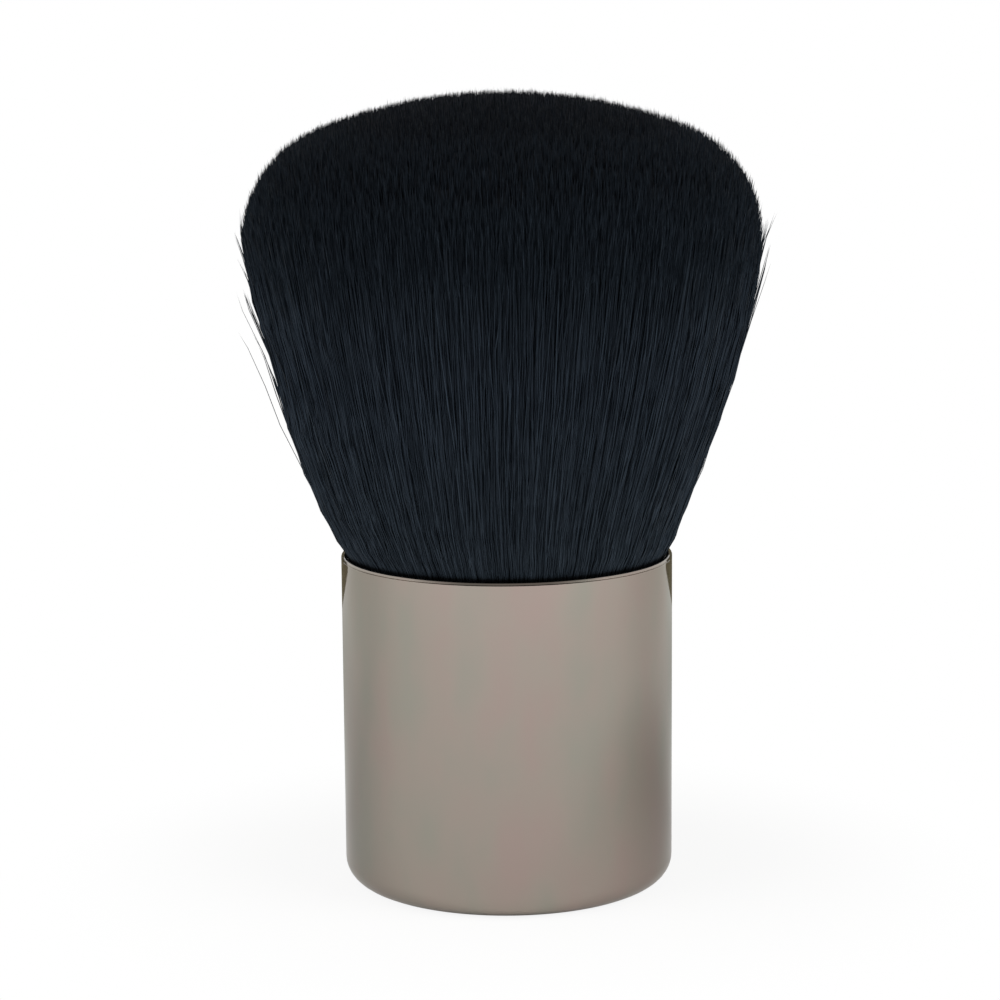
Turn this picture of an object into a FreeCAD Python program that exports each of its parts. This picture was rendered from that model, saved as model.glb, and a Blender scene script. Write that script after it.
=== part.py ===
"""Kabuki make-up brush: a short, wide brush that stands on its own metal handle.

The handle is a drawn cup with a moulded sleeve inside it. The sleeve carries a steel weight at the bottom and,
above it, a thin cup that holds the glued root of the bristles. The bristles flare out of the handle's mouth and
end in a wide, low dome.

Frame: origin at the centre of the base, +Z up along the brush's axis to the crown. Sizes are in millimetres.
"""
import FreeCAD
import Part

import math
import os

from FreeCAD import Vector

# Handle shell: a cup drawn from aluminium sheet
SHELL_DIAMETER = 32.0
SHELL_HEIGHT = 32.4
SHELL_WALL = 0.5
SHELL_FLOOR = 0.6
BASE_EDGE_RADIUS = 2.2

# Moulded sleeve: outer skirt, pocket for the weight below a web, pocket for the hair cup above it
SLEEVE_FIT = 0.05
SLEEVE_WALL = 0.9
SLEEVE_SETBACK = 0.8
SLEEVE_WEB = 1.8
SKIRT_RISE = 0.3
POCKET_WALL = 1.0
POCKET_CORNER_CLEARANCE = 0.3
RIB_COUNT = 8
RIB_THICKNESS = 0.8
RIB_ROOT = 0.3

# Ring of adhesive in a groove round the sleeve
GLUE_GROOVE_DEPTH = 0.4
GLUE_GROOVE_WIDTH = 3.0
GLUE_GROOVE_BELOW_MOUTH = 8.0
CAST_GAP = 0.02

# Weight and the felt pad under it
PAD_THICKNESS = 1.0
PAD_CLEARANCE = 0.4
WEIGHT_HEIGHT = 9.0
WEIGHT_FIT = 0.1
WEIGHT_CHAMFER = 0.5

# Cup that holds the root of the bristles, and the adhesive under it
CUP_FIT = 0.05
CUP_WALL = 0.4
CUP_CORNER_RADIUS = 1.2
CUP_EDGE_BELOW_MOUTH = 3.0
CUP_GLUE_THICKNESS = 0.3
CUP_GLUE_MARGIN = 0.8

# Root of the bristles: set in resin and bound with thread
RESIN_DEPTH = 4.5
BAND_RISE = 1.5
BAND_WIDTH = 4.0
BAND_THICKNESS = 0.5
ROOT_FIT = 0.05

# Free bristles: heights are above the handle's mouth
HEAD_DIAMETER = 49.6
HEAD_RISE = 43.6
WIDEST_RISE = 29.5
SHOULDER_RADIUS = 11.6
FLANK_LEAN = math.radians(11.5)

# Bending of the bristles about a point in the lower part of the head
PIVOT_RISE = 12.0
BEND_LIMIT = math.radians(20.0)
BEND_MARGIN = math.radians(1.5)
MOUTH_CLEARANCE = 0.4
ROOT_GAP = 0.3

# Sizes that follow from the ones above
shell_radius = SHELL_DIAMETER / 2
shell_bore = shell_radius - SHELL_WALL
inner_corner_radius = BASE_EDGE_RADIUS - SHELL_WALL
floor_flat_radius = shell_bore - inner_corner_radius
mouth = SHELL_HEIGHT

sleeve_radius = shell_bore - SLEEVE_FIT
sleeve_bore = sleeve_radius - SLEEVE_WALL
sleeve_rim = mouth - SLEEVE_SETBACK
skirt_bottom = SHELL_FLOOR + inner_corner_radius + SKIRT_RISE
pocket_outer = floor_flat_radius - POCKET_CORNER_CLEARANCE
pocket_radius = pocket_outer - POCKET_WALL

weight_bottom = SHELL_FLOOR + PAD_THICKNESS
web_bottom = weight_bottom + WEIGHT_HEIGHT
web_top = web_bottom + SLEEVE_WEB

groove_radius = sleeve_radius - GLUE_GROOVE_DEPTH
groove_top = mouth - GLUE_GROOVE_BELOW_MOUTH
groove_bottom = groove_top - GLUE_GROOVE_WIDTH

cup_radius = sleeve_bore - CUP_FIT
cup_bore = cup_radius - CUP_WALL
cup_bottom = web_top + CUP_GLUE_THICKNESS
cup_floor = cup_bottom + CUP_WALL
cup_edge = mouth - CUP_EDGE_BELOW_MOUTH
cup_inner_corner = CUP_CORNER_RADIUS - CUP_WALL

resin_top = cup_floor + RESIN_DEPTH
root_radius = cup_bore - ROOT_FIT
root_flare = sleeve_bore - ROOT_FIT
band_bottom = resin_top + BAND_RISE
band_top = band_bottom + BAND_WIDTH

pivot = mouth + PIVOT_RISE
lip_radius = SHELL_WALL / 2
lip_centre_radius = shell_radius - lip_radius
lip_centre_drop = PIVOT_RISE + lip_radius
lip_angle = math.atan2(lip_centre_radius, lip_centre_drop)
lip_distance = math.hypot(lip_centre_radius, lip_centre_drop) - lip_radius
ball_radius = lip_distance - MOUTH_CLEARANCE


def at(radius, height):
    """A point of a half section, in the XZ plane."""
    return Vector(radius, 0, height)


def straight(start, end):
    """A straight edge."""
    return Part.makeLine(start, end)


def arc_about(centre, start, end):
    """The short arc from start to end of the circle about a centre."""
    radius = (start - centre).Length
    middle_way = (start - centre) + (end - centre)
    middle = centre + middle_way.normalize() * radius
    return Part.Arc(start, middle, end).toShape()


def chain(points):
    """Straight edges from each point to the next."""
    return [straight(first, second) for first, second in zip(points, points[1:])]


def turned(edges):
    """The solid that a closed half section makes when it turns about the brush's axis."""
    section = Part.Face(Part.Wire(edges))
    return section.revolve(Vector(0, 0, 0), Vector(0, 0, 1), 360)


def turned_polygon(points):
    """A turned solid whose half section has only straight sides."""
    return turned(chain(points + points[:1]))


def ball(radius):
    """A ball about the point that the bristles bend about."""
    return Part.makeSphere(radius, at(0, pivot))


def outer_shell():
    """Drawn cup with a rounded base edge and a fully rounded lip."""
    base_centre = at(shell_radius - BASE_EDGE_RADIUS, BASE_EDGE_RADIUS)
    inner_centre = at(floor_flat_radius, SHELL_FLOOR + inner_corner_radius)
    lip_level = mouth - lip_radius
    lip_top = at(lip_centre_radius, mouth)
    base_edge = at(base_centre.x, 0)
    wall_foot = at(shell_radius, base_centre.z)
    wall_top = at(shell_radius, lip_level)
    bore_top = at(shell_bore, lip_level)
    bore_foot = at(shell_bore, inner_centre.z)
    floor_edge = at(floor_flat_radius, SHELL_FLOOR)
    edges = [straight(at(0, 0), base_edge)]
    edges.append(arc_about(base_centre, base_edge, wall_foot))
    edges.append(straight(wall_foot, wall_top))
    edges.append(Part.Arc(wall_top, lip_top, bore_top).toShape())
    edges.append(straight(bore_top, bore_foot))
    edges.append(arc_about(inner_centre, bore_foot, floor_edge))
    edges += chain([floor_edge, at(0, SHELL_FLOOR), at(0, 0)])
    return turned(edges)


def sleeve_ribs():
    """Ribs from the weight pocket to the skirt, evenly spaced."""
    inner = pocket_outer - RIB_ROOT
    length = sleeve_bore + RIB_ROOT - inner
    height = web_bottom - skirt_bottom + RIB_ROOT
    ribs = []
    for number in range(RIB_COUNT):
        corner = Vector(inner, -RIB_THICKNESS / 2, skirt_bottom)
        rib = Part.makeBox(length, RIB_THICKNESS, height, corner)
        rib.rotate(Vector(0, 0, 0), Vector(0, 0, 1), 360 * number / RIB_COUNT)
        ribs.append(rib)
    return ribs


def inner_sleeve():
    """Moulded sleeve, belled at its rim so that the bristles can spread."""
    points = [
        at(pocket_radius, SHELL_FLOOR),
        at(pocket_outer, SHELL_FLOOR),
        at(pocket_outer, web_bottom),
        at(sleeve_bore, web_bottom),
        at(sleeve_bore, skirt_bottom),
        at(sleeve_radius, skirt_bottom),
        at(sleeve_radius, groove_bottom),
        at(groove_radius, groove_bottom),
        at(groove_radius, groove_top),
        at(sleeve_radius, groove_top),
        at(sleeve_radius, sleeve_rim),
        at(sleeve_bore, sleeve_rim),
        at(sleeve_bore, web_top),
        at(0, web_top),
        at(0, web_bottom),
        at(pocket_radius, web_bottom),
    ]
    body = turned_polygon(points).fuse(sleeve_ribs()).removeSplitter()
    return body.cut(ball(ball_radius + MOUTH_CLEARANCE))


def shell_glue():
    """Ring of set adhesive that fills the sleeve's groove and holds the shell."""
    inner = groove_radius + CAST_GAP
    outer = shell_bore - CAST_GAP
    return turned_polygon([
        at(inner, groove_bottom),
        at(outer, groove_bottom),
        at(outer, groove_top),
        at(inner, groove_top),
    ])


def weight_pad():
    """Felt disc that keeps the weight from rattling on the shell's floor."""
    return Part.makeCylinder(pocket_radius - PAD_CLEARANCE, PAD_THICKNESS, at(0, SHELL_FLOOR))


def base_weight():
    """Turned steel slug with chamfered edges."""
    radius = pocket_radius - WEIGHT_FIT
    return turned_polygon([
        at(0, weight_bottom),
        at(radius - WEIGHT_CHAMFER, weight_bottom),
        at(radius, weight_bottom + WEIGHT_CHAMFER),
        at(radius, web_bottom - WEIGHT_CHAMFER),
        at(radius - WEIGHT_CHAMFER, web_bottom),
        at(0, web_bottom),
    ])


def cup_glue():
    """Disc of set adhesive between the sleeve's web and the hair cup."""
    radius = cup_radius - CUP_CORNER_RADIUS - CUP_GLUE_MARGIN
    return Part.makeCylinder(radius, CUP_GLUE_THICKNESS, at(0, web_top))


def hair_cup():
    """Thin drawn cup round the root of the bristles."""
    centre = at(cup_radius - CUP_CORNER_RADIUS, cup_bottom + CUP_CORNER_RADIUS)
    outer_foot = at(centre.x, cup_bottom)
    outer_side = at(cup_radius, centre.z)
    inner_side = at(cup_bore, centre.z)
    inner_foot = at(centre.x, cup_floor)
    edges = [straight(at(0, cup_bottom), outer_foot)]
    edges.append(arc_about(centre, outer_foot, outer_side))
    edges += chain([outer_side, at(cup_radius, cup_edge), at(cup_bore, cup_edge), inner_side])
    edges.append(arc_about(centre, inner_side, inner_foot))
    edges += chain([inner_foot, at(0, cup_floor), at(0, cup_bottom)])
    return turned(edges)


def root_resin():
    """Plug of cast resin in the bottom of the hair cup."""
    radius = cup_bore - CAST_GAP
    centre = at(radius - cup_inner_corner, cup_floor + cup_inner_corner)
    foot = at(centre.x, cup_floor)
    side = at(radius, centre.z)
    edges = [straight(at(0, cup_floor), foot)]
    edges.append(arc_about(centre, foot, side))
    edges += chain([side, at(radius, resin_top), at(0, resin_top), at(0, cup_floor)])
    return turned(edges)


def binding_thread():
    """Band of thread wound tight round the root of the bristles."""
    inner = root_radius - BAND_THICKNESS + CAST_GAP
    return turned_polygon([
        at(inner, band_bottom),
        at(root_radius, band_bottom),
        at(root_radius, band_top),
        at(inner, band_top),
    ])


def tuft_root():
    """Held part of the bristles, waisted under the thread and dished where the free part bends over it."""
    waist = root_radius - BAND_THICKNESS
    post = turned_polygon([
        at(0, resin_top),
        at(root_radius, resin_top),
        at(root_radius, band_bottom),
        at(waist, band_bottom),
        at(waist, band_top),
        at(root_radius, band_top),
        at(root_radius, cup_edge),
        at(root_flare, sleeve_rim),
        at(0, sleeve_rim),
    ])
    return post.cut(ball(ball_radius + ROOT_GAP))


def tuft_head():
    """Free part of the bristles: ball underside, flared flank, round shoulder and low crown."""
    head_radius = HEAD_DIAMETER / 2
    crown_top = at(0, mouth + HEAD_RISE)
    ball_centre = at(0, pivot)
    ball_bottom = at(0, pivot - ball_radius)

    flank_angle = lip_angle + BEND_LIMIT + BEND_MARGIN
    flank_foot = at(ball_radius * math.sin(flank_angle), pivot - ball_radius * math.cos(flank_angle))

    shoulder_centre = at(head_radius - SHOULDER_RADIUS, mouth + WIDEST_RISE)
    flank_normal = at(math.cos(FLANK_LEAN), -math.sin(FLANK_LEAN))
    flank_top = shoulder_centre + flank_normal * SHOULDER_RADIUS
    flank_chord = flank_foot - flank_top
    flank_radius = flank_chord.dot(flank_chord) / (-2 * flank_chord.dot(flank_normal))
    flank_centre = flank_top - flank_normal * flank_radius

    dome_rise = HEAD_RISE - WIDEST_RISE
    inset = shoulder_centre.x
    crown_radius = (inset ** 2 + dome_rise ** 2 - SHOULDER_RADIUS ** 2) / (2 * (dome_rise - SHOULDER_RADIUS))
    crown_centre = crown_top - at(0, crown_radius)
    crown_way = shoulder_centre - crown_centre
    crown_edge = crown_centre + crown_way.normalize() * crown_radius
    print("flank radius", round(flank_radius, 2), "crown radius", round(crown_radius, 2))

    return turned([
        arc_about(ball_centre, ball_bottom, flank_foot),
        arc_about(flank_centre, flank_foot, flank_top),
        arc_about(shoulder_centre, flank_top, crown_edge),
        arc_about(crown_centre, crown_edge, crown_top),
        straight(crown_top, ball_bottom),
    ])


pieces = {
    "outer_shell": outer_shell(),
    "inner_sleeve": inner_sleeve(),
    "shell_glue": shell_glue(),
    "weight_pad": weight_pad(),
    "base_weight": base_weight(),
    "cup_glue": cup_glue(),
    "hair_cup": hair_cup(),
    "root_resin": root_resin(),
    "binding_thread": binding_thread(),
    "tuft_root": tuft_root(),
    "tuft_head": tuft_head(),
}

os.makedirs("parts", exist_ok=True)
for name, shape in pieces.items():
    box = shape.BoundBox
    shape.exportStep(f"parts/{name}.step")
    print(f"{name}: {len(shape.Solids)} solid, {shape.Volume:.1f} mm3, z {box.ZMin:.2f} to {box.ZMax:.2f}")
print("pivot height", round(pivot, 3), "ball radius", round(ball_radius, 3))
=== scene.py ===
# %% [markdown]
# # A kabuki make-up brush
# A short, wide powder brush that stands on its own handle. The handle is a cup of polished
# gunmetal-coloured aluminium, and a dense dome of blue-black bristles flares out of its mouth. The solid
# pieces come ready made, at their real size, so this lesson loads them, measures them, and then works on
# what the eye sees: the metal, and some sixty-four thousand bristles.

# %% Load the solid pieces
import math

import bmesh
import bpy
import numpy as np
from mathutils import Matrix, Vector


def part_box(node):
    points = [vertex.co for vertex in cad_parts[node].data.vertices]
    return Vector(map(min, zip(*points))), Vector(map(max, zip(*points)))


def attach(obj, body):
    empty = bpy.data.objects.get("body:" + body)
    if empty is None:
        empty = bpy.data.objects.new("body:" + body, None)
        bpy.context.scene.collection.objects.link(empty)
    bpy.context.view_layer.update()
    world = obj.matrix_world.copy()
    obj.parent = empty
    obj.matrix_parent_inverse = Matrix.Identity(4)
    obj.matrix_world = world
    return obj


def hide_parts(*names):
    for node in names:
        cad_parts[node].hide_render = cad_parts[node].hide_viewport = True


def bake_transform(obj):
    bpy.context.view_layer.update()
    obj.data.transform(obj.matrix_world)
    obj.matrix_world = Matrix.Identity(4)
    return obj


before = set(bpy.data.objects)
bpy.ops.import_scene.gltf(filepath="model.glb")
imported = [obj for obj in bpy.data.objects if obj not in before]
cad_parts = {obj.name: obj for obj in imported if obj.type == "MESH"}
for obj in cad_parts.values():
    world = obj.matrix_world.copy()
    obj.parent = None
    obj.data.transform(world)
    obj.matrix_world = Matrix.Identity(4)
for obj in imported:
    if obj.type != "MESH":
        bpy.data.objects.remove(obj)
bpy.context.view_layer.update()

MM = 0.001
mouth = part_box("outer_shell")[1].z / MM
head_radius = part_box("tuft_head")[1].x / MM
head_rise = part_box("tuft_head")[1].z / MM - mouth
bpy.ops.object.select_all(action="DESELECT")
print("pieces:", ", ".join(sorted(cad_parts)))
print(f"mouth {mouth:.1f} mm up, head {2 * head_radius:.1f} mm wide")
print(f"crown {head_rise:.1f} mm above the mouth")


# %% [markdown]
# Colours are easiest to compare with a photograph as sRGB hex values, but a shader works in linear light,
# so one function turns the first into the second. A second one adds a shader node together with its
# settings and its links, which keeps each finish below down to a short list of nodes. Two more start a
# finish and put it on a piece.

# %% Helpers for the finishes
def linear(hex_colour):
    """Linear RGBA of an sRGB hex value."""
    shares = [int(hex_colour[i:i + 2], 16) / 255 for i in (1, 3, 5)]
    return (*(c / 12.92 if c <= 0.04045 else ((c + 0.055) / 1.055) ** 2.4 for c in shares), 1.0)


# A Mix node has sockets for several kinds of value under the same names, so its colours go by number.
MIX_SHARE = 0
MIX_FIRST = 6
MIX_SECOND = 7
MIXED = 2


def add(tree, kind, settings=None, values=None, links=None, stops=None):
    """Adds a node: its settings, its unlinked values, its links and, on a colour ramp, its stops."""
    made = tree.nodes.new("ShaderNode" + kind)
    for name, value in (settings or {}).items():
        setattr(made, name, value)
    for name, value in (values or {}).items():
        made.inputs[name].default_value = value
    for name, socket in (links or {}).items():
        tree.links.new(socket, made.inputs[name])
    if stops:
        ramp = made.color_ramp
        while len(ramp.elements) < len(stops):
            ramp.elements.new(0.5)
        for element, (place, colour) in zip(ramp.elements, stops):
            element.position = place
            element.color = linear(colour)
    return made


def new_finish(name):
    """An empty material with a Principled shader on its output: (material, node tree, shader)."""
    finish = bpy.data.materials.new(name)
    finish.use_nodes = True
    tree = finish.node_tree
    tree.nodes.clear()
    shader = add(tree, "BsdfPrincipled")
    add(tree, "OutputMaterial", links={"Surface": shader.outputs["BSDF"]})
    return finish, tree, shader


def wear(node, finish):
    """Gives a ready-made piece its finish."""
    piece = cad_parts[node]
    piece.data.materials.clear()
    piece.data.materials.append(finish)
    print(node, "wears", finish.name)


# %% [markdown]
# The photograph looks at the brush from a little above, about level with its crown, from some 27 cm away.
# The camera's place was worked out from the handle alone: its edges close in slightly towards the base,
# which gives the distance, and the curves of the mouth and the base give the height. A long lens keeps
# that perspective.

# %% Camera
VIEW_DISTANCE = 270 * MM
VIEW_HEIGHT = 81.4 * MM
VIEW_SIDE = -0.6 * MM
VIEW_PITCH = 0.1623
VIEW_ROLL = -0.008
bpy.ops.object.camera_add(location=(VIEW_SIDE, -VIEW_DISTANCE, VIEW_HEIGHT))
camera = bpy.context.object
camera.name = "camera"
camera.rotation_mode = "ZYX"
camera.rotation_euler = (math.radians(90) - VIEW_PITCH, 0, VIEW_ROLL)
camera.data.sensor_width = 36
camera.data.lens = 102
camera.data.clip_start = 0.01
bpy.context.scene.camera = camera
print("camera looks down", round(math.degrees(VIEW_PITCH), 1), "degrees")

# %% [markdown]
# The set is a sheet of white paper in a bright, even room, as in a light tent. The paper is pale, with
# painted shade that darkens it a little towards the back, where the light falls off, and painted soft
# shadows on the right and behind, where the metal's sides mirror it. The camera sees it almost white,
# with a trace of the soft shadow round the base.

# %% White paper
bpy.context.scene.view_settings.view_transform = "Standard"
PAPER_RADIUS = 1.5
PAPER_DROP = 0.02 * MM
TONE_FRONT = -150 * MM
TONE_BACK = 200 * MM
SHADOW_SEEN = 0.12
SHADOW_NEAR = 18 * MM
SHADOW_FAR = 50 * MM
PATCHES = [
    # mm to the right, mm to the back, reach in mm, tone of the painted shadow
    (48, 6, 58, "#DFDFDD"),
    (0, 80, 95, "#B4B4AE"),
    (0, 150, 125, "#CCCCC8"),
]
bpy.ops.mesh.primitive_circle_add(vertices=96, radius=PAPER_RADIUS, fill_type="NGON",
                                  location=(0, 0, -PAPER_DROP))
paper = bpy.context.object
paper.name = "paper_floor"
white, tree, shader = new_finish("white_paper")
shader.inputs["Roughness"].default_value = 0.9
shader.inputs["Specular IOR Level"].default_value = 0.1
place = add(tree, "TexCoord")
split = add(tree, "SeparateXYZ", links={"Vector": place.outputs["Object"]})
back = add(tree, "MapRange", values={"From Min": TONE_FRONT, "From Max": TONE_BACK},
           links={"Value": split.outputs["Y"]})
# Painted shade: the paper darkens towards the back, where the light falls off.
grey = add(tree, "ValToRGB", links={"Fac": back.outputs["Result"]},
           stops=[(0.0, "#FCFCFC"), (0.33, "#F3F3F2"), (0.49, "#E8E8E6"), (0.71, "#DEDED9"),
                  (0.91, "#E2E2DE")])
tone = grey.outputs["Color"]
# Painted soft shadows of the brush, one for each entry.
for x, y, reach, colour in PATCHES:
    aside = add(tree, "Mapping", {"vector_type": "TEXTURE"},
                values={"Location": (x * MM, y * MM, 0), "Scale": (reach * MM, reach * MM, reach * MM)},
                links={"Vector": place.outputs["Object"]})
    patch = add(tree, "TexGradient", {"gradient_type": "SPHERICAL"},
                links={"Vector": aside.outputs["Vector"]})
    soft = add(tree, "MapRange", {"interpolation_type": "SMOOTHSTEP"},
               links={"Value": patch.outputs["Fac"]})
    shadowed = add(tree, "Mix", {"data_type": "RGBA", "blend_type": "MULTIPLY"},
                 values={MIX_SECOND: linear(colour)},
                 links={MIX_SHARE: soft.outputs["Result"], MIX_FIRST: tone})
    tone = shadowed.outputs[MIXED]
tree.links.new(tone, shader.inputs["Base Color"])
away = add(tree, "VectorMath", {"operation": "LENGTH"}, links={0: place.outputs["Object"]})
fade = add(tree, "MapRange", {"interpolation_type": "SMOOTHSTEP"},
           values={"From Min": SHADOW_NEAR, "From Max": SHADOW_FAR,
                   "To Min": 1 - SHADOW_SEEN, "To Max": 1.0},
           links={"Value": away.outputs["Value"]})
ray = add(tree, "LightPath")
seen = add(tree, "Math", {"operation": "MULTIPLY"},
           links={0: ray.outputs["Is Camera Ray"], 1: fade.outputs[0]})
plain = add(tree, "Emission", values={"Color": (1, 1, 1, 1), "Strength": 1.0})
shown = add(tree, "MixShader",
            links={0: seen.outputs[0], 1: shader.outputs["BSDF"], 2: plain.outputs[0]})
output = next(node for node in tree.nodes if node.type == "OUTPUT_MATERIAL")
tree.links.new(shown.outputs[0], output.inputs["Surface"])
paper.data.materials.append(white)
print("paper", 2 * PAPER_RADIUS, "m across")

# %% [markdown]
# The room is plain white to the camera and in the metal's reflections, and dimmer as a light, so that two
# large lamps, one on each side, can give the bristles some direction. The lamps don't show in the metal.

# %% Room and lamps
ROOM_AS_LIGHT = 0.5
ROOM_SEEN = 1.0
LAMP_SIZE = 0.8
LAMPS = {
    # metres to the right, to the back and up, watts
    "lamp_left": (-0.75, -0.35, 0.45, 5.6),
    "lamp_right": (0.75, -0.35, 0.45, 6.6),
}
room = bpy.data.worlds.new("light_tent")
bpy.context.scene.world = room
room.use_nodes = True
tree = room.node_tree
tree.nodes.clear()
ray = add(tree, "LightPath")
seen = add(tree, "Math", {"operation": "MAXIMUM"},
           links={0: ray.outputs["Is Camera Ray"], 1: ray.outputs["Is Glossy Ray"]})
seen = add(tree, "Math", {"operation": "MAXIMUM"},
           links={0: seen.outputs[0], 1: ray.outputs["Is Transmission Ray"]})
strength = add(tree, "MapRange", values={"To Min": ROOM_AS_LIGHT, "To Max": ROOM_SEEN},
               links={"Value": seen.outputs[0]})
light = add(tree, "Background", values={"Color": (1, 1, 1, 1)},
            links={"Strength": strength.outputs[0]})
add(tree, "OutputWorld", links={"Surface": light.outputs[0]})

for name, (x, y, z, watts) in LAMPS.items():
    bpy.ops.object.light_add(type="AREA", location=(x, y, z))
    lamp = bpy.context.object
    lamp.name = name
    lamp.data.shape = "DISK"
    lamp.data.size = LAMP_SIZE
    lamp.data.energy = watts
    lamp.rotation_mode = "QUATERNION"
    lamp.rotation_quaternion = lamp.location.to_track_quat("Z", "Y")
    lamp.visible_glossy = False
    print(name, watts, "W")

# %% [markdown]
# A polished cylinder in a white room loses its edges. A photographer stands a dark card behind it, and
# the metal mirrors the card's ends as a narrow dark wedge under each end of the lip. The card is kept out
# of the camera's sight, and out of the light on everything else.

# %% Dark card
CARD_AWAY = 130 * MM
CARD_WIDTH = 220 * MM
CARD_HEIGHT = 60 * MM
bpy.ops.object.select_all(action="DESELECT")
bpy.ops.mesh.primitive_plane_add(size=1, location=(0, CARD_AWAY, CARD_HEIGHT / 2),
                                 rotation=(math.radians(90), 0, 0))
card = bpy.context.object
card.name = "dark_card"
card.scale = (CARD_WIDTH, CARD_HEIGHT, 1)
bpy.ops.object.transform_apply()
dull, tree, shader = new_finish("dark_grey_card")
shader.inputs["Base Color"].default_value = linear("#6A6452")
shader.inputs["Roughness"].default_value = 0.9
shader.inputs["Specular IOR Level"].default_value = 0.1
card.data.materials.append(dull)
card.visible_camera = card.visible_diffuse = card.visible_shadow = card.visible_transmission = False
print("dark card", round(CARD_AWAY / MM), "mm behind the brush")

# %% [markdown]
# The handle's shell is a drawn cup. A polished lip is only as good as its mesh, so the shell is modelled
# again at the solid's size, with its lip a hair lower: a disc is extruded up the outside, over the lip
# and down the inside, and resized at each step. The section has a round base edge, a full round at the
# lip and a fine turned groove just under it.

# %% Handle shell
SHELL_WALL = 0.5
SHELL_FLOOR = 0.6
BASE_EDGE = 2.2
LIP_DROP = 0.26
GROOVE_DEPTH = 0.05
GROOVE_TOP = 0.26
GROOVE_BOTTOM = 0.34
SHELL_SIDES = 288
SMOOTH_BELOW = math.radians(40)
shell_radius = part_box("outer_shell")[1].x / MM
lip_radius = SHELL_WALL / 2
lip_top = mouth - LIP_DROP


def arc(centre, radius, first, last, steps):
    """Points along an arc of a section, between two angles in degrees: (how far out, how high)."""
    turns = np.radians(np.linspace(first, last, steps))
    return [(centre[0] + radius * math.cos(turn), centre[1] + radius * math.sin(turn)) for turn in turns]


def turn_up(name, section, sides):
    """A closed piece, round about the brush's axis: a disc, extruded and resized from point to point."""
    bpy.ops.object.select_all(action="DESELECT")
    (radius, height), *rest = section
    bpy.ops.mesh.primitive_circle_add(vertices=sides, radius=radius * MM, fill_type="NGON",
                                      location=(0, 0, height * MM))
    piece = bpy.context.object
    piece.name = piece.data.name = name
    bpy.ops.object.transform_apply(location=True)
    bpy.ops.object.mode_set(mode="EDIT")
    bpy.ops.mesh.select_all(action="SELECT")
    for next_radius, next_height in rest:
        step = (0, 0, (next_height - height) * MM)
        bpy.ops.mesh.extrude_region_move(TRANSFORM_OT_translate={"value": step})
        size = next_radius / radius
        bpy.ops.transform.resize(value=(size, size, 1), center_override=(0, 0, next_height * MM))
        radius, height = next_radius, next_height
    bpy.ops.mesh.select_all(action="SELECT")
    bpy.ops.mesh.normals_make_consistent(inside=False)
    bpy.ops.object.mode_set(mode="OBJECT")
    bpy.ops.object.shade_smooth_by_angle(angle=SMOOTH_BELOW)
    print(name, "has", len(piece.data.polygons), "faces")
    return piece


section = arc((shell_radius - BASE_EDGE, BASE_EDGE), BASE_EDGE, -90, 0, 10)
section += [(shell_radius, lip_top - GROOVE_BOTTOM)]
section += [(shell_radius - GROOVE_DEPTH, lip_top - (GROOVE_TOP + GROOVE_BOTTOM) / 2)]
section += [(shell_radius, lip_top - GROOVE_TOP)]
section += arc((shell_radius - lip_radius, lip_top - lip_radius), lip_radius, 0, 180, 17)
section += arc((shell_radius - BASE_EDGE, BASE_EDGE + SHELL_FLOOR - SHELL_WALL), BASE_EDGE - SHELL_WALL,
               0, -90, 5)
shell = turn_up("handle_shell", section, SHELL_SIDES)
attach(shell, "handle")
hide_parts("outer_shell")

# %% [markdown]
# The aluminium is polished and given a thin hard coat of warm gunmetal grey. It mirrors its surroundings,
# so in a white room it shows little but its own colour. What makes it look real is slight: the coat's
# tint drifts between pinkish and olive grey, faint upright lines are left from drawing and polishing, and
# handling leaves a haze that is a little rougher in places. Real drawing lines are finer than these,
# which are as coarse as they need to be to show. The groove under the lip has painted shade, which makes
# it a fine dark line, and the lip carries a painted reflection of the dark bristles, lighter left and
# right of the front.

# %% Gunmetal coat on polished aluminium
DRIFT_SIZE = 5 * MM
DRAWN_LINE = 0.6 * MM
LINE_HEIGHT = 0.05 * MM
gunmetal, tree, shader = new_finish("gunmetal_coated_aluminium")
place = add(tree, "TexCoord")
slow = add(tree, "Mapping", values={"Scale": (1, 1, 0.45)}, links={"Vector": place.outputs["Object"]})
drift = add(tree, "TexNoise", values={"Scale": 1 / DRIFT_SIZE, "Detail": 2.0, "Roughness": 0.5},
            links={"Vector": slow.outputs["Vector"]})
coat = add(tree, "ValToRGB", links={"Fac": drift.outputs["Fac"]},
           stops=[(0.3, "#98948A"), (0.5, "#9E948B"), (0.7, "#A1918A")])
split = add(tree, "SeparateXYZ", links={"Vector": place.outputs["Object"]})
rim = add(tree, "MapRange",
          values={"From Min": (lip_top - GROOVE_BOTTOM) * MM, "From Max": lip_top * MM},
          links={"Value": split.outputs["Z"]})
# Painted shade in the groove under the lip, and a painted reflection of the dark bristles on the lip.
lip_painted_dark = add(tree, "ValToRGB", links={"Fac": rim.outputs["Result"]},
            stops=[(0.0, "#000000"), (0.05, "#FCFCFC"), (0.2, "#FCFCFC"), (0.25, "#E6E6E6")])
depth = add(tree, "MapRange",
            values={"From Min": -shell_radius * MM, "From Max": shell_radius * MM},
            links={"Value": split.outputs["Y"]})
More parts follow.
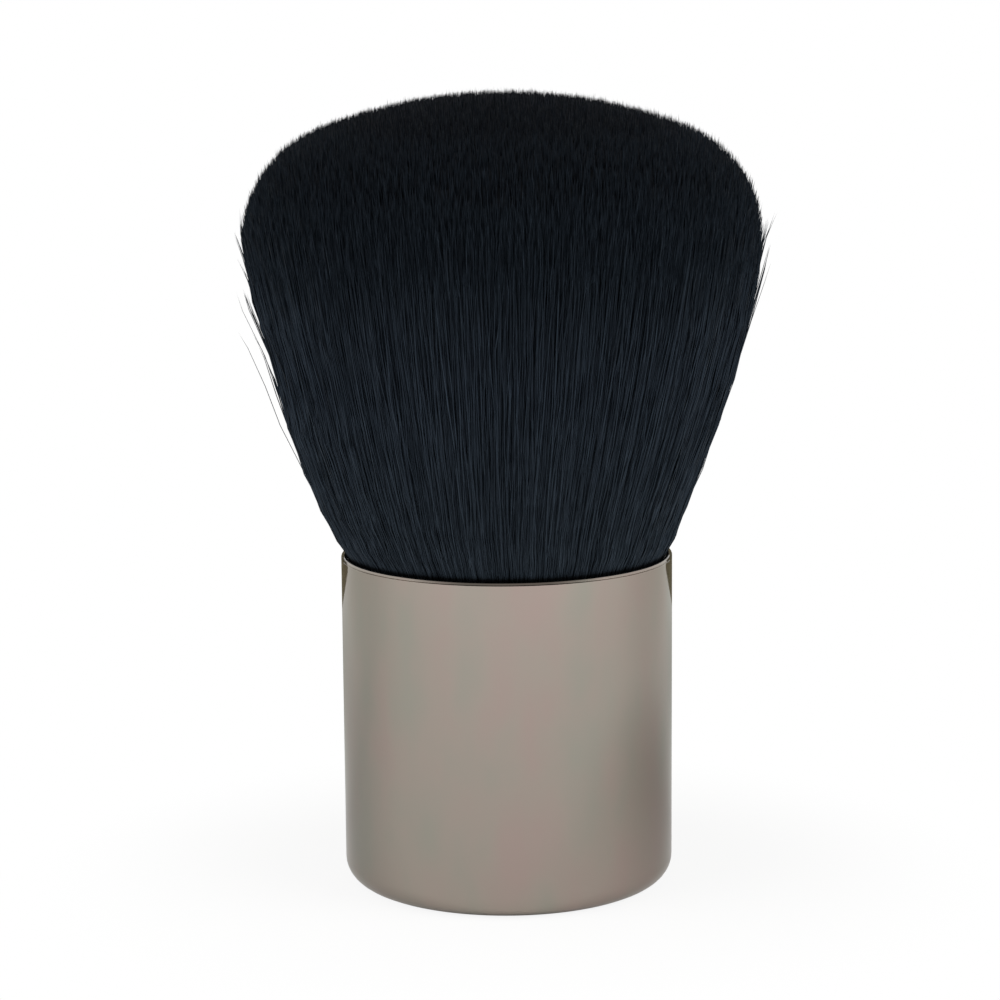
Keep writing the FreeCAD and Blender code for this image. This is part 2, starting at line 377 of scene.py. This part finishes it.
# The painted reflection on the lip is lighter left and right of the front.
lighter_aside = add(tree, "ValToRGB", links={"Fac": depth.outputs["Result"]},
            stops=[(0.015, "#FFFFFF"), (0.085, "#505050"), (0.33, "#505050"), (0.37, "#FFFFFF")])
kept = add(tree, "Math", {"operation": "MULTIPLY"},
           links={0: lip_painted_dark.outputs["Color"], 1: lighter_aside.outputs["Color"]})
tint = add(tree, "Mix", {"data_type": "RGBA"}, values={MIX_SECOND: linear("#3A352E")},
           links={MIX_SHARE: kept.outputs[0], MIX_FIRST: coat.outputs["Color"]})
upright = add(tree, "Mapping", values={"Scale": (1, 1, 0.04)}, links={"Vector": place.outputs["Object"]})
lines = add(tree, "TexNoise", values={"Scale": 1 / DRAWN_LINE, "Detail": 3.0, "Roughness": 0.6},
            links={"Vector": upright.outputs["Vector"]})
haze = add(tree, "MapRange", values={"From Min": 0.3, "From Max": 0.7, "To Min": 0.04, "To Max": 0.08},
           links={"Value": drift.outputs["Fac"]})
ripple = add(tree, "Bump", values={"Strength": 0.02, "Distance": LINE_HEIGHT},
             links={"Height": lines.outputs["Fac"]})
shader.inputs["Metallic"].default_value = 1.0
tree.links.new(tint.outputs[MIXED], shader.inputs["Base Color"])
tree.links.new(haze.outputs["Result"], shader.inputs["Roughness"])
tree.links.new(ripple.outputs["Normal"], shader.inputs["Normal"])
wear("outer_shell", gunmetal)
shell.data.materials.append(gunmetal)

# %% [markdown]
# The sleeve inside the shell is moulded in black ABS. Only its rim can show, deep between the bristles
# and the metal lip. Moulded ABS has a fine spark-eroded grain, which breaks its gloss up. It is drawn
# coarser here than it is, so that it shows.

# %% Black ABS
SPARK_GRAIN = 0.25 * MM
SPARK_DEPTH = 0.02 * MM
abs_black, tree, shader = new_finish("moulded_black_abs")
place = add(tree, "TexCoord")
grain = add(tree, "TexNoise", values={"Scale": 1 / SPARK_GRAIN, "Detail": 2.0},
            links={"Vector": place.outputs["Object"]})
shade = add(tree, "ValToRGB", links={"Fac": grain.outputs["Fac"]},
            stops=[(0.3, "#0E0E0F"), (0.7, "#151516")])
pits = add(tree, "Bump", values={"Strength": 0.15, "Distance": SPARK_DEPTH},
           links={"Height": grain.outputs["Fac"]})
shader.inputs["Roughness"].default_value = 0.5
tree.links.new(shade.outputs["Color"], shader.inputs["Base Color"])
tree.links.new(pits.outputs["Normal"], shader.inputs["Normal"])
wear("inner_sleeve", abs_black)

# %% [markdown]
# The pieces inside the handle never show, but each has the finish of the real one, for whoever takes the
# brush apart: amber epoxy round the roots, pale set adhesive, a ground steel weight on grey felt, a plain
# drawn aluminium cup and a waxed cotton binding. Each is one texture that drives the colour and, where it
# can be felt, a bump. The grain is as coarse as it needs to be to show.

# %% Finishes inside the handle
INSIDE = [
    # nodes, finish, lighter, darker, grain in mm, stretch along the axis, roughness, metallic, bump in mm
    (["shell_glue", "cup_glue"], "set_epoxy_adhesive", "#CFC4A6", "#BDB08C", 1.5, 1.0, 0.35, 0, 0.02),
    (["weight_pad"], "pressed_grey_felt", "#7E7E7B", "#63635F", 0.3, 1.0, 0.95, 0, 0.10),
    (["base_weight"], "ground_mild_steel", "#B9B9B7", "#A3A3A1", 0.4, 12.0, 0.35, 1, 0.01),
    (["hair_cup"], "drawn_plain_aluminium", "#DCDCDD", "#CBCBCD", 0.4, 0.05, 0.30, 1, 0.01),
    (["root_resin"], "amber_casting_resin", "#B07A3C", "#8E5A26", 2.0, 1.0, 0.12, 0, 0.02),
    (["binding_thread"], "waxed_cotton_thread", "#D2CAB8", "#A79D88", 0.35, 6.0, 0.80, 0, 0.12),
]
for nodes, name, lighter, darker, grain_mm, stretch, roughness, metallic, bump_mm in INSIDE:
    finish, tree, shader = new_finish(name)
    place = add(tree, "TexCoord")
    turned = add(tree, "Mapping", values={"Scale": (1, 1, stretch)},
                 links={"Vector": place.outputs["Object"]})
    grain = add(tree, "TexNoise", values={"Scale": 1 / (grain_mm * MM), "Detail": 2.0},
                links={"Vector": turned.outputs["Vector"]})
    shade = add(tree, "ValToRGB", links={"Fac": grain.outputs["Fac"]},
                stops=[(0.35, darker), (0.65, lighter)])
    relief = add(tree, "Bump", values={"Strength": 0.3, "Distance": bump_mm * MM},
                 links={"Height": grain.outputs["Fac"]})
    shader.inputs["Roughness"].default_value = roughness
    shader.inputs["Metallic"].default_value = metallic
    tree.links.new(shade.outputs["Color"], shader.inputs["Base Color"])
    tree.links.new(relief.outputs["Normal"], shader.inputs["Normal"])
    for node in nodes:
        wear(node, finish)

# %% [markdown]
# The outline of the tuft is a few arcs. From the mouth the flank leans out and straightens as it rises,
# then a round shoulder turns it over into a low crown. Every bristle is a thinner copy of the flank: one
# that stands half way out at the root stays half way out all the way up, and ends where it meets the
# dome. So two functions are enough: how far out the flank is at a height, and at what height a bristle
# ends.

# %% Outline of the tuft, in millimetres above the mouth
FLANK_FOOT = 15.7
WIDEST_RISE = 29.5
TIPS_PROUD = 0.05
CROWN_PROUD = 0.35
SHOULDER = 11.6
FLANK_LEAN = math.radians(11.5)
LIP_ROOM = 0.15
LIP_ROOM_RISE = 1.4
THROAT = 14.0

inset = head_radius + TIPS_PROUD - SHOULDER
flank_way = np.array([math.cos(FLANK_LEAN), -math.sin(FLANK_LEAN)])
flank_top = np.array([inset, WIDEST_RISE]) + SHOULDER * flank_way
flank_chord = np.array([FLANK_FOOT, 0.0]) - flank_top
flank_bend = flank_chord @ flank_chord / (-2 * flank_chord @ flank_way)
flank_centre = flank_top - flank_bend * flank_way
dome_rise = head_rise - WIDEST_RISE
crown_bend = (inset ** 2 + dome_rise ** 2 - SHOULDER ** 2) / (2 * (dome_rise - SHOULDER))
crown_centre = head_rise - crown_bend
crown_edge = crown_centre + crown_bend * (WIDEST_RISE - crown_centre) / (crown_bend - SHOULDER)


def flank_radius(rise):
    """How far out the outermost bristles are at a height; inside the mouth they keep to the throat."""
    bow = flank_centre[0] + np.sqrt(flank_bend ** 2 - (rise - flank_centre[1]) ** 2)
    tuck = np.clip(1 - rise / LIP_ROOM_RISE, 0, 1)
    return np.maximum(bow - LIP_ROOM * tuck ** 2, THROAT)


def dome_radius(rise):
    """How far out the shoulder or the crown is at a height."""
    shoulder = inset + np.sqrt(np.maximum(SHOULDER ** 2 - (rise - WIDEST_RISE) ** 2, 0))
    crown = np.sqrt(np.maximum(crown_bend ** 2 - (rise - crown_centre) ** 2, 0))
    return np.where(rise < crown_edge, shoulder, crown)


dome_rises = np.linspace(flank_top[1], head_rise, 400)
dome_shares = dome_radius(dome_rises) / flank_radius(dome_rises)


def end_rise(share):
    """The height at which a bristle that stands at this share of the flank's radius meets the dome."""
    return np.interp(share, dome_shares[::-1], dome_rises[::-1])


print(f"flank arc {flank_bend:.0f} mm, crown arc {crown_bend:.1f} mm")
print(f"crown begins {crown_edge:.1f} mm up")

# %% [markdown]
# A bristle is a straight synthetic filament about as thick as a strong hair, with a long tapered tip. It
# is modelled once: a three-sided rod, cut across where it will have to bend, drawn in ring by ring and
# closed to a point. Three sides shaded smooth look round at this size, and few faces matter when there
# are tens of thousands of copies. Bristles at the flank show their whole length, so they get more cuts
# than those under the crown.

# %% One bristle, modelled by hand
def model_bristle(cuts, widths):
    """A rod one unit tall, cut at these heights and drawn in to these widths: (corners, faces)."""
    bpy.ops.object.select_all(action="DESELECT")
    bpy.ops.mesh.primitive_cylinder_add(vertices=3, radius=1, depth=1, location=(0, 0, 0.5))
    rod = bpy.context.object
    bpy.ops.object.transform_apply(location=True)
    bpy.ops.object.mode_set(mode="EDIT")
    for cut in cuts:
        bpy.ops.mesh.select_all(action="SELECT")
        bpy.ops.mesh.bisect(plane_co=(0, 0, cut), plane_no=(0, 0, 1))
    for height, width in [*zip(cuts, widths), (1.0, 0.0)]:
        edit = bmesh.from_edit_mesh(rod.data)
        for corner in edit.verts:
            corner.select = abs(corner.co.z - height) < 1e-4
        edit.select_flush_mode()
        bmesh.update_edit_mesh(rod.data)
        if width:
            bpy.ops.transform.resize(value=(width, width, 1), center_override=(0, 0, height))
        else:
            bpy.ops.mesh.merge(type="CENTER")
    bpy.ops.object.mode_set(mode="OBJECT")
    corners = np.array([corner.co for corner in rod.data.vertices])
    faces = [tuple(face.vertices) for face in rod.data.polygons]
    bpy.data.objects.remove(rod)
    return corners, faces


flank_bristle = model_bristle([0.2, 0.24, 0.32, 0.42, 0.54, 0.66, 0.8, 0.94],
                              [1.0, 1.0, 1.0, 1.0, 1.0, 1.0, 0.95, 0.65])
crown_bristle = model_bristle([0.6, 0.93], [1.0, 0.8])
print("a flank bristle has", len(flank_bristle[1]), "faces, a crown bristle", len(crown_bristle[1]))

# %% [markdown]
# The filaments are dyed blue-black. A filament keeps its lighter tone along its side, where it catches
# the room; painted shade darkens it at the root, where it dives into its neighbours, and towards the tip.
# No two take the dye alike, so each carries its own tone, and the tone wanders along its length. Both are
# kept in the piece's own UV map: across for the tone, up for the place along the bristle. The finish reads
# nothing else, so every copy can share it.

# %% Dyed filament
BRISTLE_MAP = "OFBake"
TONE_WANDER = 0.19
# Bristles of unlike tone wander apart, and each patch is some 3 mm long.
PATCHES_ACROSS = 60
PATCHES_ALONG = 14
filament, tree, shader = new_finish("dyed_synthetic_filament")
place = add(tree, "UVMap", {"uv_map": BRISTLE_MAP})
split = add(tree, "SeparateXYZ", links={"Vector": place.outputs["UV"]})
# Both ramps hold painted shade: dark at the root, and darker again towards the tip.
dark = add(tree, "ValToRGB", links={"Fac": split.outputs["Y"]},
           stops=[(0.19, "#0C0D0F"), (0.207, "#13191F"), (0.7, "#13181F"), (1.0, "#07090D")])
pale = add(tree, "ValToRGB", links={"Fac": split.outputs["Y"]},
           stops=[(0.19, "#14171A"), (0.207, "#343D46"), (0.7, "#2F3842"), (1.0, "#2A333C")])
spread = add(tree, "Mapping", values={"Scale": (PATCHES_ACROSS, PATCHES_ALONG, 1)},
             links={"Vector": place.outputs["UV"]})
patchy = add(tree, "TexNoise", values={"Scale": 1.0, "Detail": 1.0},
             links={"Vector": spread.outputs["Vector"]})
wander = add(tree, "MapRange",
             values={"From Min": 0.3, "From Max": 0.7, "To Min": -TONE_WANDER, "To Max": TONE_WANDER},
             links={"Value": patchy.outputs["Fac"]})
tone = add(tree, "Math", {"operation": "ADD", "use_clamp": True},
           links={0: split.outputs["X"], 1: wander.outputs["Result"]})
# The dye's tone, mixed with the painted shade along the bristle.
dye_and_shade = add(tree, "Mix", {"data_type": "RGBA"},
          links={MIX_SHARE: tone.outputs[0], MIX_FIRST: dark.outputs["Color"],
                 MIX_SECOND: pale.outputs["Color"]})
tree.links.new(dye_and_shade.outputs[MIXED], shader.inputs["Base Color"])
shader.inputs["Roughness"].default_value = 0.5
shader.inputs["Specular IOR Level"].default_value = 0.05
print("filament finish reads the map", BRISTLE_MAP)

# %% [markdown]
# Planting copies one bristle along thousands of paths at once. Each copy has a share of the flank's
# radius, a turn round the brush, a start and an end height, and small faults: it drifts round as it
# rises, strays outwards, is a little thicker or thinner. The tuft as a whole leans slightly to the left,
# and its flank is drawn in a little below the shoulder, where wisps leave it. Arrays do this in one go,
# where adding objects one by one would take far longer, and the copies are kept as a few large pieces.

# %% Planting
LEAN_RISES = (0, 5, 15, 30, 45)
LEANS = (0, -0.3, -0.2, -0.1, -0.15)
SIDE_RISES = (13, 17, 20, 24, 27, 29, 31, 34)
LEFT_DRAWN_IN = (0, 0.55, 0.6, 0.1, 0.35, 0.2, 0.1, 0.1)
RIGHT_DRAWN_IN = (0, 0, 0, 0, 0.25, 0.45, 0.4, 0.2)
COLLAR = 0.2
COLLAR_RISE = 0.05
STRAY_CURVE = 1.4
SPIN = 997
MAP_WIDTH = 0.004
chance = np.random.default_rng(7)


def plant(name, bristle, share, turn, start, knee, end, drift, stray, leave, girth, tone, wobble, map_from):
    """Copies of a bristle: its collar runs from start to knee, the rest to end, straying from leave on."""
    corners, faces = bristle
    along = corners[:, 2]
    count = len(share)
    levels, level = np.unique(along.round(4), return_inverse=True)
    loose = np.where(levels > COLLAR, wobble, 0)
    spin = (turn * SPIN)[:, None]
    out = girth[:, None] * (corners[:, 0] * np.cos(spin) - corners[:, 1] * np.sin(spin))
    side = girth[:, None] * (corners[:, 0] * np.sin(spin) + corners[:, 1] * np.cos(spin))
    rise = np.where(along < COLLAR, start[:, None] + (knee - start)[:, None] * along / COLLAR,
                    knee[:, None] + (end - knee)[:, None] * (along - COLLAR) / (1 - COLLAR))
    free = np.clip((rise - leave[:, None]) / (end - leave)[:, None], 0, 1)
    out += share[:, None] * flank_radius(rise) + stray[:, None] * free ** STRAY_CURVE
    to_right = np.cos(turn)[:, None]
    drawn_in = np.where(to_right < 0, np.interp(rise, SIDE_RISES, LEFT_DRAWN_IN),
                        np.interp(rise, SIDE_RISES, RIGHT_DRAWN_IN))
    out -= share[:, None] * drawn_in * to_right ** 2
    out += (chance.normal(0, 1, (count, len(levels))) * loose)[:, level]
    side += (chance.normal(0, 1, (count, len(levels))) * loose)[:, level]
    way = turn[:, None] + drift[:, None] * (along - COLLAR)
    lean = np.interp(rise, LEAN_RISES, LEANS)
    points = np.stack([out * np.cos(way) - side * np.sin(way) + lean,
                       out * np.sin(way) + side * np.cos(way), rise + mouth], axis=2) * MM
    order = np.concatenate(faces)
    firsts = np.cumsum([0] + [len(face) for face in faces[:-1]])
    copies = np.arange(count)[:, None]
    corner_of = (copies * len(corners) + order).ravel()
    mesh = bpy.data.meshes.new(name)
    mesh.vertices.add(count * len(corners))
    mesh.vertices.foreach_set("co", points.astype(np.float32).ravel())
    mesh.loops.add(len(corner_of))
    mesh.polygons.add(count * len(faces))
    mesh.polygons.foreach_set("loop_start", (copies * len(order) + firsts).ravel())
    mesh.polygons.foreach_set("vertices", corner_of)
    mesh.update(calc_edges=True)
    mesh.shade_smooth()
    across = tone[:, None] + MAP_WIDTH * corners[:, 0]
    up = np.broadcast_to(map_from + (1 - map_from) * along, across.shape)
    mapped = np.stack([across, up], axis=2).reshape(-1, 2)[corner_of]
    mesh.uv_layers.new(name=BRISTLE_MAP).data.foreach_set("uv", mapped.astype(np.float32).ravel())
    mesh.materials.append(filament)
    piece = bpy.data.objects.new(name, mesh)
    bpy.context.scene.collection.objects.link(piece)
    print(name, count, "bristles,", sum(len(face) - 2 for face in faces) * count, "triangles")
    return piece


# %% [markdown]
# The flank is the outer tenth of the tuft. Its bristles are seen from root to tip, so this is where
# clumps show: neighbours stick together and share a tone, and a few dark gaps open between them.

# %% Flank bristles
FLANK_COUNT = 3070
FLANK_PIECES = 6
FLANK_INNER = 0.82
FLANK_TONE = 0.43
FLANK_TONE_SPREAD = 0.08
FLANK_END_SPREAD = 0.25
FLANK_DRIFT = 0.045
FLANK_STRAY = -0.1
FLANK_STRAY_SPREAD = 0.1
STRAY_STRETCH = 22
FLANK_THINNEST = 0.045
FLANK_THICKEST = 0.065
FLANK_WOBBLE = 0.1
DARKEST = 0.01
PALEST = 0.99
ROOT_DEPTH = 3.2
SPIKE_LENGTH = 0.6
SPIKE_FROM = 0.3
SPIKE_SLANT = 3
CLUMP_TONE = 0.06
CLUMP_INSET = 0.002
CLUMP_COUNTS = (41, 67, 113, 179, 283, 431)
CLUMP_SCALE = 2.5
waves = chance.uniform(0, 2 * math.pi, len(CLUMP_COUNTS))


def clump(turn):
    """A value that neighbours share, mostly between -1 and 1."""
    return sum(np.sin(count * turn + wave) for count, wave in zip(CLUMP_COUNTS, waves)) / CLUMP_SCALE


def spikes(turn, share):
    """How much longer bristles are where their tips stick together, on the right shoulder only."""
    stuck = np.maximum(clump(turn + SPIKE_SLANT * share) - SPIKE_FROM, 0)
    return SPIKE_LENGTH * stuck * np.maximum(np.cos(turn), 0)


bristles = []
for number in range(FLANK_PIECES):
    turn = chance.uniform(0, 2 * math.pi, FLANK_COUNT)
    share = np.sqrt(chance.uniform(FLANK_INNER, 1.0, FLANK_COUNT))
    share -= CLUMP_INSET * (1 - clump(turn))
    end = end_rise(np.minimum(share, 1)) + chance.normal(0, FLANK_END_SPREAD, FLANK_COUNT)
    end += spikes(turn, share)
    tone = FLANK_TONE + CLUMP_TONE * clump(turn) + chance.normal(0, FLANK_TONE_SPREAD, FLANK_COUNT)
    stray = chance.normal(FLANK_STRAY, FLANK_STRAY_SPREAD, FLANK_COUNT)
    bristles.append(plant(f"flank_bristles_{number + 1}", flank_bristle, share, turn,
                          start=np.full(FLANK_COUNT, -ROOT_DEPTH),
                          knee=np.full(FLANK_COUNT, COLLAR_RISE), end=end,
                          drift=chance.normal(0, FLANK_DRIFT, FLANK_COUNT),
                          stray=stray, leave=end - STRAY_STRETCH,
                          girth=chance.uniform(FLANK_THINNEST, FLANK_THICKEST, FLANK_COUNT),
                          tone=np.clip(tone, DARKEST, PALEST), wobble=FLANK_WOBBLE, map_from=0.0))

# %% [markdown]
# Under the crown only the tips show, closely packed, so these bristles begin part of the way up, inside
# the core.

# %% Crown bristles
CROWN_COUNT = 11500
CROWN_PIECES = 4
CROWN_LENGTH = 18.0
CROWN_OUTER = 0.96
# The crown's bristles get a far darker tone than the flank's: painted shade where the tips are seen end-on.
CROWN_SHADE_TONE = 0.01
SHOULDER_LESS_SHADE = 0.37
CROWN_TONE_SPREAD = 0.02
CROWN_END_SPREAD = 0.14
CROWN_DRIFT = 0.02
CROWN_STRAY_SPREAD = 0.15
CROWN_THINNEST = 0.06
CROWN_THICKEST = 0.08
CROWN_WOBBLE = 0.05
CROWN_MAP_FROM = 0.5
for number in range(CROWN_PIECES):
    turn = chance.uniform(0, 2 * math.pi, CROWN_COUNT)
    share = np.sqrt(chance.uniform(0, CROWN_OUTER, CROWN_COUNT))
    end = end_rise(share) + chance.normal(CROWN_PROUD, CROWN_END_SPREAD, CROWN_COUNT)
    end += share * spikes(turn, share)
    start = end - CROWN_LENGTH
    # Painted shade: dark tones under the crown, paler towards the shoulder.
    tone = CROWN_SHADE_TONE + SHOULDER_LESS_SHADE * share ** 4 + chance.normal(0, CROWN_TONE_SPREAD, CROWN_COUNT)
    bristles.append(plant(f"crown_bristles_{number + 1}", crown_bristle, share, turn,
                          start=start, knee=start + COLLAR * CROWN_LENGTH, end=end,
                          drift=chance.normal(0, CROWN_DRIFT, CROWN_COUNT),
                          stray=chance.normal(0, CROWN_STRAY_SPREAD, CROWN_COUNT), leave=start,
                          girth=chance.uniform(CROWN_THINNEST, CROWN_THICKEST, CROWN_COUNT),
                          tone=np.clip(tone, 0, PALEST), wobble=CROWN_WOBBLE, map_from=CROWN_MAP_FROM))

# %% [markdown]
# Some bristles are set at a wider angle and leave the flank in wisps, which draw together to a point.
# Seen against a pale background they are what makes a brush look like a brush. The photograph shows most
# of them on the left, a few on the right. Round the rest of the brush there are more, at random.

# %% Stray bristles
SEEN_WISPS = [
    # degrees round the brush, leaves the flank at, ends at, stands off there, bristles
    (181, 27.0, 33.3, -0.7, 8),
    (179, 25.5, 31.0, 0.5, 8),
    (181, 24.0, 28.5, 0.75, 5),
    (180, 14.5, 25.4, 0.75, 10),
    (182, 17.5, 22.2, 0.2, 4),
    (178, 9.0, 25.6, 1.75, 1),
    (182, 8.0, 21.9, 2.6, 1),
    (180, 11.0, 21.9, 1.3, 2),
    (181, 12.0, 18.3, 0.75, 6),
    (1, 28.5, 33.0, -0.7, 5),
    (-1, 26.0, 32.1, 0.15, 5),
    (2, 24.5, 32.4, 0.85, 4),
    (0, 19.5, 29.4, 0.85, 6),
    (-2, 20.0, 28.2, 1.2, 1),
]
WISP_SHARE = 0.998
SINGLE_GIRTH = 0.04
WISP_THINNEST = 0.05
WISP_THICKEST = 0.07
WISP_WOBBLE = 0.03
WISP_FAN = 0.03
WISP_TAPER = 0.7
OFF_SPREAD = 0.08
PER_SIDE = 11
OTHER_WISPS = 2 * PER_SIDE
places = np.concatenate([np.linspace(20, 160, PER_SIDE), np.linspace(200, 340, PER_SIDE)])
places = places + chance.uniform(-6, 6, OTHER_WISPS)
leaves = chance.uniform(8, 24, OTHER_WISPS)
others = np.stack([places, leaves, leaves + chance.uniform(6, 10, OTHER_WISPS),
                   chance.uniform(0.1, 0.9, OTHER_WISPS), chance.integers(1, 5, OTHER_WISPS)], axis=1)
wisps = np.concatenate([np.array(SEEN_WISPS), others])
degrees, leave, tip, off, in_wisp = np.repeat(wisps, wisps[:, 4].astype(int), axis=0).T
many = len(degrees)
fan = chance.normal(0, WISP_FAN, many)
leave = leave + chance.uniform(-3, 2, many)
end = tip - chance.exponential(WISP_TAPER, many)
off = off + np.where(in_wisp == 1, 0, chance.normal(0, OFF_SPREAD, many))
bristles.append(plant("stray_bristles", flank_bristle, np.full(many, WISP_SHARE), np.radians(degrees) + fan,
                      start=np.full(many, -ROOT_DEPTH), knee=np.full(many, COLLAR_RISE), end=end,
                      drift=-fan, stray=off * (end - leave) / (tip - leave), leave=leave,
                      girth=np.where(in_wisp == 1, SINGLE_GIRTH,
                                     chance.uniform(WISP_THINNEST, WISP_THICKEST, many)),
                      tone=chance.uniform(0.2, 0.6, many),
                      wobble=WISP_WOBBLE, map_from=0.0))

# %% [markdown]
# Deep inside, the bundle is too dense for light. A plain dark core stands there, so that no one looks
# through the tuft. It is a disc, extruded upwards and resized step by step along the flank and in under
# the dome.

# %% Core of the bundle
CORE_SHARE = 0.93
CORE_DEPTH = 0.8
CORE_RISES = (-2.0, 2.0, 8.0, 14.0, 20.0, 25.0)
CORE_STEPS = (0.92, 0.89, 0.85, 0.8, 0.72, 0.62, 0.5, 0.35, 0.15)
CORE_SIDES = 48
section = [(THROAT * CORE_SHARE, mouth - ROOT_DEPTH)]
section += [(CORE_SHARE * float(flank_radius(np.array(rise))), mouth + rise) for rise in CORE_RISES]
for share in CORE_STEPS:
    rise = float(end_rise(share))
    radius = share * float(flank_radius(np.array(rise))) - CORE_DEPTH * share ** 3
    section += [(radius, mouth + rise - CORE_DEPTH)]
core = turn_up("bristle_core", section, CORE_SIDES)

# %% [markdown]
# Shadow between bristles is nearly black, with a hint of upright streaks where single bristles catch
# light. The streaks are drawn wider than a bristle, so that they show.

# %% Packed bristles
STREAK_WIDTH = 0.4 * MM
STREAK_DEPTH = 0.1 * MM
packed, tree, shader = new_finish("packed_filament")
place = add(tree, "TexCoord")
upright = add(tree, "Mapping", values={"Scale": (1, 1, 0.03)}, links={"Vector": place.outputs["Object"]})
streaks = add(tree, "TexNoise", values={"Scale": 1 / STREAK_WIDTH, "Detail": 2.0},
              links={"Vector": upright.outputs["Vector"]})
shade = add(tree, "ValToRGB", links={"Fac": streaks.outputs["Fac"]},
            stops=[(0.35, "#080A0D"), (0.7, "#0E1218")])
grooves = add(tree, "Bump", values={"Strength": 0.4, "Distance": STREAK_DEPTH},
              links={"Height": streaks.outputs["Fac"]})
shader.inputs["Roughness"].default_value = 0.7
shader.inputs["Specular IOR Level"].default_value = 0.1
tree.links.new(shade.outputs["Color"], shader.inputs["Base Color"])
tree.links.new(grooves.outputs["Normal"], shader.inputs["Normal"])
core.data.materials.append(packed)
for node in ("tuft_head", "tuft_root"):
    wear(node, packed)

# %% [markdown]
# On the real brush the roots are held by the handle and the tuft can bend to either side. Here the core
# and the bristles get their places baked into their meshes, and the solid pieces of the tuft are hidden.

# %% Bake the bristles in place
for piece in [core, *bristles]:
    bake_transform(piece)
    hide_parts("tuft_head", "tuft_root")
